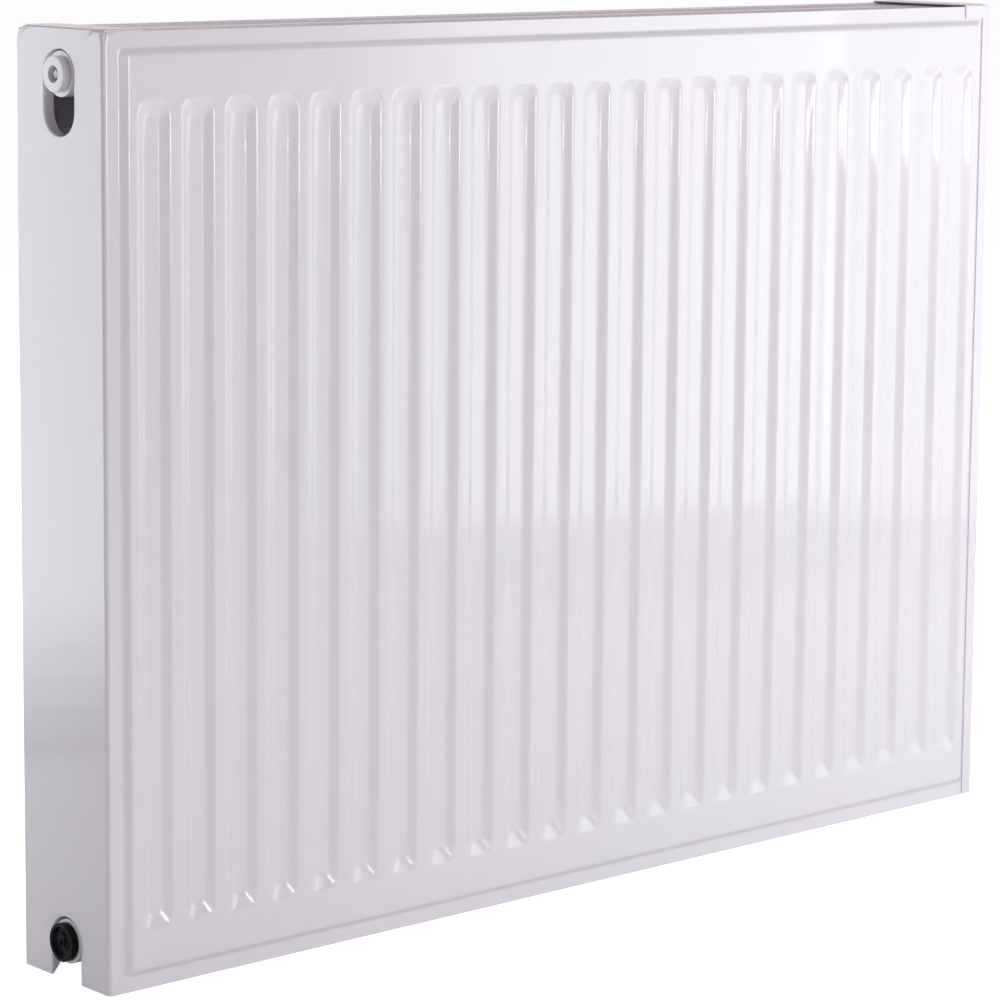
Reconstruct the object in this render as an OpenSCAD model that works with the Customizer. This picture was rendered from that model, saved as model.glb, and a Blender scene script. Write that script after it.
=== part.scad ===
// Steel panel radiator: two pressed water panels with a convector behind each,
// joined by tees at the corners, with a lift-off top grille and side covers.
// X runs along the length, -Y is the room side, +Y is the wall side, Z is up.

/* [Overall size] */
// Length of the water panels
panel_l = 800; // [500:100:1000]
// Height over the side covers
body_h = 600; // [400:50:700]
// Depth over the faces of the two panels
body_d = 100; // [96:1:110]

/* [Pressed panels] */
// Thickness of the pressed sheets
sheet_t = 1.2; // [1:0.1:1.4]
// Depth of the pressing, from the seam to the face
press_d = 4; // [3.5:0.1:4.2]
// Width of the flat rim outside the pressing
rim_w = 10; // [9:0.5:11]
// Width of the slope between rim and face
rim_slope = 4.3; // [3:0.1:5]
// Radius of a panel's four corners
panel_corner = 12; // [11:0.5:14]
// Width of a groove at the face
groove_w = 24; // [22:0.5:26]
// Width of a groove's floor
groove_floor = 12; // [10:0.5:13]
// Length of the slope at a groove's ends
groove_end = 9; // [6:0.5:10]
// Height of the grooves' lower ends
groove_low = 39; // [38:0.5:42]
// Distance from the panel's top edge to the grooves' upper ends
groove_drop = 41.6; // [40:0.5:44]

/* [Convectors] */
// Thickness of the convector sheet
fin_t = 0.6; // [0.5:0.1:0.8]
// Reach of the fins from the water panel
fin_reach = 24; // [20:0.5:25]
// Width of a fin's flats
fin_flat = 9; // [7:0.5:9]
// Height of the convectors' lower edge
fin_low = 60; // [50:1:80]
// Distance from the top to the convectors' upper edge
fin_drop = 64; // [60:1:80]

/* [Tappings] */
// Height of the lower tappings
tap_low = 25.5; // [25:0.1:27]
// Distance from the upper tappings to the top
tap_drop = 28.5; // [27:0.1:29]
// Inside radius of the G 1/2 thread
thread_r = 9.32; // [9.3:0.01:9.4]
// Length of the thread
thread_l = 16; // [12:0.5:18]
// Radius of the boss around the thread
boss_r = 14.25; // [13:0.25:14.75]
// Distance from the panel's end to the cross tube of a tee
tee_inset = 34; // [32:0.5:36]

/* [Plugs] */
// Radius of the vent plug's and blanking plug's heads
head_r = 11.25; // [11:0.05:11.7]
// Radius of the transit plug's flange
transit_r = 12.4; // [12:0.1:13]
// Thickness of every plug's head
head_l = 5.3; // [5:0.1:6]
// Radius of the bleed screw's shaft
bleed_r = 2.95; // [2.8:0.05:3]
// Radial play round the bleed screw
bleed_play = 0.05; // [0.03:0.01:0.1]

/* [Side covers] */
// Thickness of the covers' sheet
cover_t = 0.8; // [0.7:0.1:1]
// Depth of a cover over its folds
cover_d = 94; // [94:0.2:94.4]
// Width of the flanges on the panels' rims
flange_w = 10.5; // [8:0.5:11]
// Length of the ears and of the part over the top
ear_l = 29; // [26:0.5:30]
// Height of the ears
ear_h = 10; // [8:0.5:12]
// Width of the slot and of the notch round the tappings
slot_w = 31; // [31:0.2:34]
// Height of the slot's lower end below the upper tapping
slot_reach = 38; // [38:0.5:40]
// Depth of the slot's inward lip
lip_d = 7; // [5:0.5:8]
// Length that the rounding of an upper corner takes from each edge
cover_corner = 8; // [6:0.5:9]

/* [Top grille] */
// Thickness of the grille's sheet
grille_t = 1; // [0.8:0.1:1.2]
// Depth of the grille's front and rear flanges
grille_flange = 9; // [6:0.5:9]
// Number of slots over each water channel
slots_per_channel = 4; // [2:1:4]
// Width of a slot
grille_slot_w = 4.6; // [3:0.2:5]

/* [Hanging lugs] */
// Width of a lug
lug_w = 33; // [25:1:40]
// Height of a lug over its feet
lug_h = 70; // [60:1:90]
// Thickness of a lug
lug_t = 2.5; // [2:0.1:3]
// Distance that a lug stands out from the panel
lug_out = 9; // [8:0.5:12]
// Number of channels between a panel's end and a lug's channel
lug_channel = 3; // [2:1:4]

/* [Hidden] */
$fn = 64;

ENAMEL = [0.90, 0.89, 0.93];
BLACK = [0.06, 0.06, 0.07];
BRASS = [0.80, 0.66, 0.36];
RUBBER = [0.15, 0.15, 0.16];
SPRING = [0.62, 0.63, 0.65];

// Water panels
over = 1;                                   // how far a cutter passes a face
channels = round(panel_l * 3 / 100);        // 33.3 mm apart
pitch = panel_l / channels;
cover_top_gap = 0.6;                        // between a cover and the panels' top edges
panel_h = body_h - cover_t - cover_top_gap;
seam_y = body_d / 2 - press_d - sheet_t;    // the plane where two sheets are welded
inner_face = seam_y - press_d - sheet_t;    // the face of the inner sheets
groove_high = panel_h - groove_drop;
groove_slope = (groove_w - groove_floor) / 2;

// Tees
tap_x = panel_l / 2 - tee_inset;
tap_high = body_h - tap_drop;
boss_x = panel_l / 2 + 0.8;                 // the boss's face
tube_r = 10.5;
tube_bore = 8.5;

// Plugs
shank_r = thread_r - 0.02;
shank_l = 12;
seal_in = 9.4;
seal_out = 10.6;
seal_t = 1.5;
socket_r = 5;                               // of the vent plug's round socket
hex_r = 5.8;                                // of the blanking plug's socket, for a 10 mm key
socket_l = 7;
bleed_bore = bleed_r + bleed_play;
socket_x = boss_x + head_l - socket_l;      // the floor of a plug's socket
seat_x = boss_x - shank_l + 3;              // where the bleed screw's bore narrows

// Side covers
cover_x = panel_l / 2 + 2;                  // a cover's outer face
cover_low = 0.6;                            // a cover's lower edge, clear of the floor
slot_r = slot_w / 2;
slot_low = tap_high - slot_reach + slot_r;
slot_high = tap_high - 0.5;
notch_lip = 6;
lip_slant = 1.2;                            // rise of the notch lip's lower end, per mm of depth
ball_inset = 20;                            // from the faces to the centre of a corner's sphere
ball_r = sqrt(2 * pow(ball_inset, 2) + pow(ball_inset - cover_corner, 2));

// Grille
grille_y = seam_y - sheet_t - 0.4;
grille_x = cover_x - ear_l - 0.5;
grille_top = panel_h - 0.6;
grille_rib = 4;                             // half width of the rib between the two rows
grille_margin = 6;                          // from a slot's end to the flange
clip_x = 240;
clip_w = 12;
clip_l = 37;

// Lugs
lug_x = panel_l / 2 - (lug_channel + 0.5) * pitch;
lug_foot = 15;
lug_z_low = 92;
lug_z_high = body_h - 88;

// Moves the water panels' middle plane so that the origin is under the middle of the whole
module placed() translate([0, -lug_out / 2, 0]) children();

// A bar along X with an outline given in Y and Z
module bar_x(x0, x1) translate([x0, 0, 0]) rotate([90, 0, 90]) linear_extrude(x1 - x0) children();

// A rod along X
module rod_x(x0, x1, r, sides = $fn) {
    translate([x0, 0, 0]) rotate([0, 90, 0]) cylinder(r = r, h = x1 - x0, $fn = sides);
}

// Trapezium from the seam at 0 to the face at -Y: base width, top width and middle
module press_section(base, top, middle) {
    rise = sheet_t + press_d;
    polygon([
        [middle - base / 2, over], [middle - base / 2, -sheet_t],
        [middle - top / 2, -rise], [middle + top / 2, -rise],
        [middle + base / 2, -sheet_t], [middle + base / 2, over]
    ]);
}

// Trapezium of a groove, open at the face and carried past it
module groove_section(floor_w, slope, middle) {
    past = 1.25;
    half = floor_w / 2 + slope * past;
    polygon([
        [middle - floor_w / 2, -sheet_t], [middle - half, -sheet_t - press_d * past],
        [middle + half, -sheet_t - press_d * past], [middle + floor_w / 2, -sheet_t]
    ]);
}

// Solid under a sheet's outer surface: the rim and the raised field, less the grooves
module press_form() {
    field_l = panel_l - 2 * rim_w;
    field_h = panel_h - 2 * rim_w;
    floor_h = groove_high - groove_low - 2 * groove_end;
    difference() {
        union() {
            translate([-panel_l / 2, -sheet_t, 0]) cube([panel_l, sheet_t, panel_h]);
            intersection() {
                linear_extrude(panel_h) press_section(field_l, field_l - 2 * rim_slope, 0);
                bar_x(-panel_l / 2, panel_l / 2) mirror([1, -1])
                    press_section(field_h, field_h - 2 * rim_slope, panel_h / 2);
                translate([-panel_l / 2, -body_d, 0]) cube([panel_l, body_d, panel_h]);
            }
        }
        intersection() {
            linear_extrude(panel_h)
                for (i = [1:channels - 1])
                    groove_section(groove_floor, groove_slope, (i - channels / 2) * pitch);
            bar_x(-panel_l / 2, panel_l / 2) mirror([1, -1])
                groove_section(floor_h, groove_end, (groove_low + groove_high) / 2);
        }
    }
}

// Outline of a panel, drawn in X and Z
module panel_outline() {
    half = panel_l / 2;
    translate([-half, panel_corner]) square([panel_l, panel_h - 2 * panel_corner]);
    translate([panel_corner - half, 0]) square([panel_l - 2 * panel_corner, panel_h]);
    for (x = [panel_corner - half, half - panel_corner], z = [panel_corner, panel_h - panel_corner])
        translate([x, z]) circle(panel_corner);
}

// One pressed sheet with its crest towards -Y and its seam at y = 0
module pressed_sheet() {
    intersection() {
        difference() {
            press_form();
            translate([0, sheet_t, 0]) press_form();
        }
        translate([0, body_d / 2, 0]) rotate([90, 0, 0]) linear_extrude(body_d) panel_outline();
    }
}

// Holes through both inner sheets for the four tees
module tee_holes() {
    for (x = [-tap_x, tap_x], z = [tap_low, tap_high])
        translate([x, body_d / 2, z]) rotate([90, 0, 0]) cylinder(r = tube_bore, h = body_d);
}

module front_outer_sheet() color(ENAMEL) placed()
    translate([0, -seam_y, 0]) pressed_sheet();

module front_inner_sheet() color(ENAMEL) placed()
    difference() {
        translate([0, -seam_y, 0]) mirror([0, 1, 0]) pressed_sheet();
        tee_holes();
    }

module rear_inner_sheet() color(ENAMEL) placed()
    difference() {
        translate([0, seam_y, 0]) pressed_sheet();
        tee_holes();
    }

module rear_outer_sheet() color(ENAMEL) placed()
    translate([0, seam_y, 0]) mirror([0, 1, 0]) pressed_sheet();

// Convector sheet behind the front panel: one fin over each channel's crest
module convector() {
    top = -inner_face + fin_reach;
    lean = (pitch - 2 * fin_flat) / 2;
    crest_x = [for (i = [0:channels - 1]) (i + 0.5 - channels / 2) * pitch];
    wave = [
        for (x = crest_x, step = [0:3])
            step == 0 ? [x - fin_flat / 2, -inner_face]
            : step == 1 ? [x + fin_flat / 2, -inner_face]
            : step == 2 ? [x + fin_flat / 2 + lean, top]
            : [x + fin_flat / 2 + lean + fin_flat, top]
    ];
    path = [for (i = [0:len(wave) - 3]) wave[i]];
    near = [for (i = [0:len(path) - 1]) path[i] + [bulge(i), 0]];
    far = [for (i = [len(path) - 1:-1:0]) path[i] + [-bulge(i), fin_t]];
    translate([0, 0, fin_low])
        linear_extrude(body_h - fin_drop - fin_low) polygon(concat(near, far));
}

// Sideways shift of a corner of the wave, which keeps its slopes as thick as its flats
function bulge(i) = fin_t * ((i % 4 == 1) || (i % 4 == 2) ? 0.1 : -0.1);

module front_convector() color(ENAMEL) placed() convector();

module rear_convector() color(ENAMEL) placed() mirror([0, 1, 0]) convector();

// Tee at the +X end: a cross tube between the inner sheets and a threaded boss
module tee(z) {
    translate([0, 0, z])
        difference() {
            union() {
                translate([tap_x, inner_face, 0]) rotate([90, 0, 0])
                    cylinder(r = tube_r, h = 2 * inner_face);
                rod_x(tap_x + 4, boss_x, boss_r);
            }
            translate([tap_x, inner_face + over, 0]) rotate([90, 0, 0])
                cylinder(r = tube_bore, h = 2 * (inner_face + over));
            rod_x(tap_x, boss_x, tube_bore - 0.5);
            rod_x(boss_x - thread_l, boss_x + over, thread_r);
        }
}

module tee_top_left() color(ENAMEL) placed() mirror([1, 0, 0]) tee(tap_high);

module tee_top_right() color(ENAMEL) placed() tee(tap_high);

module tee_bottom_left() color(ENAMEL) placed() mirror([1, 0, 0]) tee(tap_low);

module tee_bottom_right() color(ENAMEL) placed() tee(tap_low);

// Plug body at the +X end: a round head with a socket, a seal recess and a shank
module plug_body(hole_r, sides) {
    difference() {
        union() {
            rod_x(boss_x, boss_x + head_l, head_r);
            rod_x(boss_x - shank_l, boss_x + over, shank_r);
        }
        rod_x(socket_x, boss_x + head_l + over, hole_r, sides);
        difference() {
            rod_x(boss_x - over, boss_x + seal_t, seal_out);
            rod_x(boss_x - 2 * over, boss_x + seal_t + over, seal_in);
        }
    }
}

module seal() {
    difference() {
        rod_x(boss_x, boss_x + seal_t, seal_out);
        rod_x(boss_x - over, boss_x + seal_t + over, seal_in);
    }
}

module blanking_plug() color(ENAMEL) placed() translate([0, 0, tap_high]) plug_body(hex_r, 6);

module blanking_plug_seal() color(RUBBER) placed() translate([0, 0, tap_high]) seal();

module vent_plug() color(ENAMEL) placed()
    mirror([1, 0, 0]) translate([0, 0, tap_high])
        difference() {
            plug_body(socket_r, $fn);
            rod_x(seat_x, socket_x + over, bleed_bore);
            rod_x(boss_x - shank_l - over, seat_x + over, bleed_r / 2);
        }

module vent_plug_seal() color(RUBBER) placed()
    mirror([1, 0, 0]) translate([0, 0, tap_high]) seal();

// Square-headed screw whose tip closes the vent
module bleed_screw() color(BRASS) placed()
    mirror([1, 0, 0]) translate([0, 0, tap_high]) {
        square_w = 5;
        tip_gap = 0.4;
        rod_x(seat_x + tip_gap, socket_x + 0.5, bleed_r);
        translate([socket_x + 0.4, -square_w / 2, -square_w / 2])
            cube([socket_l - 2.4, square_w, square_w]);
    }

// Plastic plug that keeps dirt out of the tapping until a valve is fitted
module transit_plug() color(BLACK) placed()
    mirror([1, 0, 0]) translate([0, 0, tap_low]) {
        stem_r = thread_r - 0.32;
        stem_l = 10;
        wall = 1.6;
        pocket_w = 5.2;
        pocket_depth = 3;
        difference() {
            union() {
                rod_x(boss_x, boss_x + head_l, transit_r);
                rod_x(boss_x - stem_l, boss_x + over, stem_r);
            }
            for (quarter = [0:90:270])
                rotate([quarter, 0, 0])
                    translate([boss_x + head_l - pocket_depth, wall, wall])
                        cube([pocket_depth + over, pocket_w, pocket_w]);
            rod_x(boss_x - stem_l - over, boss_x + over, stem_r - wall);
        }
    }

// Strap bridged off the rear sheet, centred on a channel's crest
module lug(x, z) {
    y = body_d / 2;
    arm = lug_h / 2;
    translate([x - lug_w / 2, 0, z])
        bar_x(0, lug_w)
            polygon([
                [y, -arm], [y + lug_t, -arm], [y + lug_t, -arm + lug_foot],
                [y + lug_out, -arm + lug_foot + lug_out / 2],
                [y + lug_out, arm - lug_foot - lug_out / 2],
                [y + lug_t, arm - lug_foot], [y + lug_t, arm], [y, arm],
                [y, arm - lug_foot - lug_t / 2],
                [y + lug_out - lug_t, arm - lug_foot - lug_out / 2 - lug_t / 2],
                [y + lug_out - lug_t, -arm + lug_foot + lug_out / 2 + lug_t / 2],
                [y, -arm + lug_foot + lug_t / 2]
            ]);
}

module lug_top_left() color(ENAMEL) placed() lug(-lug_x, lug_z_high);

module lug_top_right() color(ENAMEL) placed() lug(lug_x, lug_z_high);

module lug_bottom_left() color(ENAMEL) placed() lug(-lug_x, lug_z_low);

module lug_bottom_right() color(ENAMEL) placed() lug(lug_x, lug_z_low);

// Grille: slotted plate with a flange down the front and the rear
module top_grille() color(ENAMEL) placed() {
    step = pitch / slots_per_channel;
    count = floor((grille_x - grille_margin) / step);
    slot_l = grille_y - grille_t - grille_margin - grille_rib;
    translate([0, 0, grille_top - grille_t])
        linear_extrude(grille_t)
            difference() {
                square([2 * grille_x, 2 * grille_y], center = true);
                for (i = [-count:count - 1], s = [-1, 1])
                    translate([(i + 0.5) * step, s * (grille_rib + slot_l / 2)])
                        square([grille_slot_w, slot_l], center = true);
            }
    for (y = [-grille_y, grille_y - grille_t])
        translate([-grille_x, y, grille_top - grille_flange])
            cube([2 * grille_x, grille_t, grille_flange - grille_t]);
}

// Four leaf springs under the grille, which press on the inner sheets
module grille_clips() color(SPRING) placed() {
    leaf_t = 0.8;
    leaf_y = inner_face - 0.4;
    foot = 9;
    top = grille_top - grille_t;
    for (x = [-clip_x, clip_x], s = [0, 1])
        mirror([0, s, 0]) translate([x - clip_w / 2, -leaf_y, top - clip_l]) {
            cube([clip_w, leaf_t, clip_l]);
            translate([0, 0, clip_l - leaf_t]) cube([clip_w, foot, leaf_t]);
        }
}

// Outer form of the cover at the +X end, or its inner form, drawn in by an inset
module cover_form(inset, low) {
    centre = [cover_x, cover_d / 2, body_h] - [ball_inset, ball_inset, ball_inset];
    difference() {
        translate([cover_x - ear_l - inset, inset - cover_d / 2, low])
            cube([ear_l, cover_d - 2 * inset, body_h - inset - low]);
        for (s = [0, 1])
            mirror([0, s, 0]) translate(centre)
                difference() {
                    cube(ball_inset + over);
                    sphere(ball_r - inset);
                }
    }
}

// Slot round the upper tapping, grown by a margin
module slot_outline(grow) {
    for (z = [slot_low, slot_high])
        translate([0, z]) circle(slot_r + grow);
    translate([-slot_r - grow, slot_low]) square([2 * (slot_r + grow), slot_high - slot_low]);
}

// Notch round the lower tapping, open at the bottom, grown by a margin
module notch_outline(grow, low) {
    translate([0, tap_low]) circle(slot_r + grow);
    translate([-slot_r - grow, low]) square([2 * (slot_r + grow), tap_low - low]);
}

// Wedge that slants the lower ends of the notch's lip
module lip_cut() {
    reach = notch_lip + over - cover_t;
    half = slot_r + cover_t + over;
    translate([cover_x - cover_t, half, cover_low]) rotate([90, 0, 0])
        linear_extrude(2 * half)
            polygon([[0, -over], [0, 0], [-reach, lip_slant * reach], [-reach, -over]]);
}

// Cover at the +X end: plate, flanges, top and ears, with lips round the two openings
module side_cover() {
    wrap_x = cover_x - ear_l;
    lip_x = cover_x - cover_t;
    difference() {
        union() {
            difference() {
                cover_form(0, cover_low);
                cover_form(cover_t, -over);
                translate([wrap_x - over, -body_d, -over])
                    cube([ear_l + over - flange_w, 2 * body_d, body_h - ear_h + over]);
            }
            bar_x(cover_x - lip_d, lip_x) slot_outline(cover_t);
            bar_x(cover_x - notch_lip, lip_x) notch_outline(cover_t, cover_low);
        }
        bar_x(cover_x - lip_d - over, cover_x + over) slot_outline(0);
        bar_x(cover_x - notch_lip - over, cover_x + over) notch_outline(0, -over);
        lip_cut();
    }
}

module left_side_cover() color(ENAMEL) placed() mirror([1, 0, 0]) side_cover();

module right_side_cover() color(ENAMEL) placed() side_cover();

front_outer_sheet();
front_inner_sheet();
rear_inner_sheet();
rear_outer_sheet();
front_convector();
rear_convector();
tee_top_left();
tee_top_right();
tee_bottom_left();
tee_bottom_right();
vent_plug();
vent_plug_seal();
bleed_screw();
blanking_plug();
blanking_plug_seal();
transit_plug();
lug_top_left();
lug_top_right();
lug_bottom_left();
lug_bottom_right();
top_grille();
grille_clips();
left_side_cover();
right_side_cover();
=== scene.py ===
"""Looks of the panel radiator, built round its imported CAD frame."""
import math

import bmesh
import bpy
from mathutils import Matrix, Vector


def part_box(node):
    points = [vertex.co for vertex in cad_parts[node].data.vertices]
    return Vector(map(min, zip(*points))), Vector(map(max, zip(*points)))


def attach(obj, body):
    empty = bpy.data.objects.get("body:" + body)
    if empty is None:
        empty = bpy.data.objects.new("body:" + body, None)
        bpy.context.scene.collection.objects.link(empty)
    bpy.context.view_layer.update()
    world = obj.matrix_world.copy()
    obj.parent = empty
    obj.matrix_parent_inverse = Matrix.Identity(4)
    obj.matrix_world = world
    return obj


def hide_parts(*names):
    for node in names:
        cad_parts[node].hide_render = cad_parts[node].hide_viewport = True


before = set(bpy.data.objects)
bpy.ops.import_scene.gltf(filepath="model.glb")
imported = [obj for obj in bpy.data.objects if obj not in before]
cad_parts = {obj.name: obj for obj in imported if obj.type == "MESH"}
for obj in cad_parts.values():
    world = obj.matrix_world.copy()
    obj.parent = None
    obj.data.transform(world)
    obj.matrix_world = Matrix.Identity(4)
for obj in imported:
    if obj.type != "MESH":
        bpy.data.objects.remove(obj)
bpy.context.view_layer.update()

MM = 0.001
BODY = "radiator_body"

# Pressed sheets, as the CAD model has them
SHEET_T = 1.2 * MM
PRESS_D = 4 * MM
RIM_W = 10 * MM
RIM_SLOPE = 4.3 * MM
PANEL_CORNER = 12 * MM
GROOVE_W = 24 * MM
GROOVE_FLOOR = 12 * MM
GROOVE_END = 9 * MM
GROOVE_LOW = 39 * MM
GROOVE_DROP = 41.6 * MM
CHANNELS_PER_M = 30
BEND = 1.1 * MM             # half the length of a rounded bend in a pressing
FIELD_MITRE = 3 * MM        # rounding where two slopes of the rim meet
GROOVE_MITRE = 7 * MM       # rounding where two slopes of a groove meet
EDGE = 0.3 * MM             # rounding of a sheet's cut edge

# Side covers
COVER_T = 0.8 * MM
CUT_EDGE = 0.2 * MM         # rounding of a cover's cut edges
FOLD_R = 3 * MM             # bend radius of the upright folds
TOP_FOLD_R = 2 * MM         # bend radius of the folds round the top
BALL_R = 4.6 * MM           # radius of the upper corners
BALL_REACH = 12 * MM        # where the radius of a fold starts to grow
BALL_GROWTH = 1.6           # how fast a fold reaches that radius towards a corner
FLANGE_W = 10.5 * MM
EAR_L = 29 * MM
EAR_H = 10 * MM
SLOT_R = 15.5 * MM
SLOT_REACH = 38 * MM        # from the upper tapping to the slot's lower end
SLOT_RISE = -0.5 * MM       # from the upper tapping to the centre of the slot's upper arc
LIP_R = 1.5 * MM            # rolled edge of the lips
SLOT_LIP = 7 * MM
NOTCH_LIP = 6 * MM
LIP_SLANT = 1.2             # rise of the notch lip's lower end over its depth
WINDOW = 20 * MM            # half width of the field round each opening
CREASE_FRONT = 9.3 * MM     # from the upper corner to the pull mark beside it
CREASE_REAR = 14 * MM
CREASE_L = 11 * MM          # depth below the top at which a mark has faded
CREASE_W = 1.4 * MM         # half width of a mark
CREASE_D = 0.9 * MM         # depth of a mark

# Tappings and plugs
BOSS_R = 14.25 * MM
THREAD_R = 9.32 * MM
THREAD_L = 16 * MM
THREAD_PITCH = 1.814 * MM
THREAD_H = 1 * MM           # from a thread's crest to its root
THREAD_MOUTH = 1.4 * MM     # length of the countersink at the boss's face
TUBE_R = 10.5 * MM
HEAD_R = 11.25 * MM
HEAD_L = 5.3 * MM
TRANSIT_R = 12.4 * MM


# ---------------------------------------------------------------- meshes

def add_piece(name, bm, material, body=BODY, node=None, sharp=32):
    """Makes a piece from a bmesh, marks its hard edges and hands it to the frame."""
    bm.normal_update()
    limit = math.radians(sharp)
    for face in bm.faces:
        face.smooth = True
    for edge in bm.edges:
        if len(edge.link_faces) == 2:
            edge.smooth = edge.calc_face_angle(0) < limit
    mesh = bpy.data.meshes.new(name)
    bm.to_mesh(mesh)
    bm.free()
    piece = bpy.data.objects.new(name, mesh)
    bpy.context.scene.collection.objects.link(piece)
    mesh.materials.append(material)
    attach(piece, body)
    if node:
        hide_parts(node)
    return piece


def add_grid(bm, rows):
    """Quads between rows of points, all of one length. Points that coincide are merged later."""
    made = [[bm.verts.new(p) for p in row] for row in rows]
    for low, high in zip(made, made[1:]):
        for a, b, c, d in zip(low, low[1:], high[1:], high):
            bm.faces.new((a, b, c, d))


def merge(bm, distance=2e-6):
    """Joins coinciding points and drops the faces that have collapsed."""
    bmesh.ops.remove_doubles(bm, verts=bm.verts, dist=distance)
    bmesh.ops.dissolve_degenerate(bm, dist=distance, edges=bm.edges)


def thicken(bm, offset):
    """Closes an open skin: offset(vert) is the step from each point to the back of the sheet."""
    bm.normal_update()
    front = list(bm.verts)
    faces = list(bm.faces)
    rim = [e for e in bm.edges if len(e.link_faces) == 1]
    back = {v: bm.verts.new(v.co + offset(v)) for v in front}
    for face in faces:
        bm.faces.new([back[v] for v in reversed(face.verts)])
    for edge in rim:
        loop = edge.link_loops[0]
        a, b = loop.vert, loop.link_loop_next.vert
        bm.faces.new((b, a, back[a], back[b]))


def mirrored(bm, axis, about):
    """Mirrors a bmesh in the plane where coordinate axis equals about."""
    for v in bm.verts:
        v.co[axis] = 2 * about - v.co[axis]
    bmesh.ops.reverse_faces(bm, faces=bm.faces)


def face_towards(bm, direction):
    """Turns the faces of an open skin the same way, mostly towards a direction."""
    bmesh.ops.recalc_face_normals(bm, faces=bm.faces)
    bm.normal_update()
    if sum(f.calc_area() * f.normal.dot(direction) for f in bm.faces) < 0:
        bmesh.ops.reverse_faces(bm, faces=bm.faces)


def spread(start, stop, count):
    """count + 1 evenly spaced values from start to stop."""
    return [start + (stop - start) * i / count for i in range(count + 1)]


def tidy_lines(values, gap=0.05 * MM):
    """Sorted grid lines without near repeats."""
    lines = []
    for value in sorted(values):
        if not lines or value - lines[-1] > gap:
            lines.append(value)
    return lines


def ring_at(centre, along, reach_of, segments=72):
    """A closed ring of points round an X axis; reach_of gives the radius at an angle."""
    row = []
    for i in range(segments + 1):
        angle = 2 * math.pi * (i % segments) / segments
        reach = reach_of(angle)
        row.append(centre + Vector((along, reach * math.cos(angle), reach * math.sin(angle))))
    return row


def section_reach(radius, sides):
    """The radius at an angle of a circle, or of a polygon of a given half width."""
    def reach(angle):
        if not sides:
            return radius
        wedge = 2 * math.pi / sides
        return radius / math.cos((angle % wedge) - wedge / 2)
    return reach


def lathe(outline, centre, outward, segments=72):
    """Turns an outline of (distance outward, radius, sides) round an X axis through centre.
    sides is 0 where the section is round, and otherwise a polygon's, whose radius is its half width."""
    bm = bmesh.new()
    add_grid(bm, [
        ring_at(centre, outward * along, section_reach(radius, sides), segments)
        for along, radius, sides in outline
    ])
    merge(bm)
    bmesh.ops.recalc_face_normals(bm, faces=bm.faces)
    return bm


def eased(points, radius=0.4 * MM, steps=4):
    """An outline of (along, radius, sides) with its corners rounded."""
    out = [points[0]]
    for before, here, after in zip(points, points[1:], points[2:]):
        a, p, b = (Vector(q[:2]) for q in (before, here, after))
        to_a, to_b = a - p, b - p
        cut = min(radius, to_a.length * 0.45, to_b.length * 0.45)
        if cut < 0.02 * MM or here[2] != before[2] or here[2] != after[2]:
            out.append(here)
            continue
        start, end = p + to_a.normalized() * cut, p + to_b.normalized() * cut
        for i in range(steps + 1):
            t = i / steps
            q = start * (1 - t) ** 2 + p * 2 * t * (1 - t) + end * t ** 2
            out.append((q.x, q.y, here[2]))
    return out + [points[-1]]


# ---------------------------------------------------------------- pressed sheets

def soft_ramp(t, bend):
    """A ramp that starts at 0 with a rounded bend of half length bend."""
    if t <= -bend:
        return 0.0
    if t >= bend:
        return t
    return (t + bend) ** 2 / (4 * bend)


def slope(t, width):
    """Height from 0 to 1 over a slope of a given width with rounded bends at both ends."""
    return (soft_ramp(t, BEND) - soft_ramp(t - width, BEND)) / width


def soft_max(a, b, mitre):
    """The larger of two distances, rounded where they are nearly equal."""
    near = max(0.0, mitre - abs(a - b))
    return max(a, b) + near * near / (4 * mitre)


def bend_lines(at):
    """Grid lines across a bend."""
    return [at + BEND * k for k in (-1, -0.5, 0, 0.5, 1)]


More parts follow.
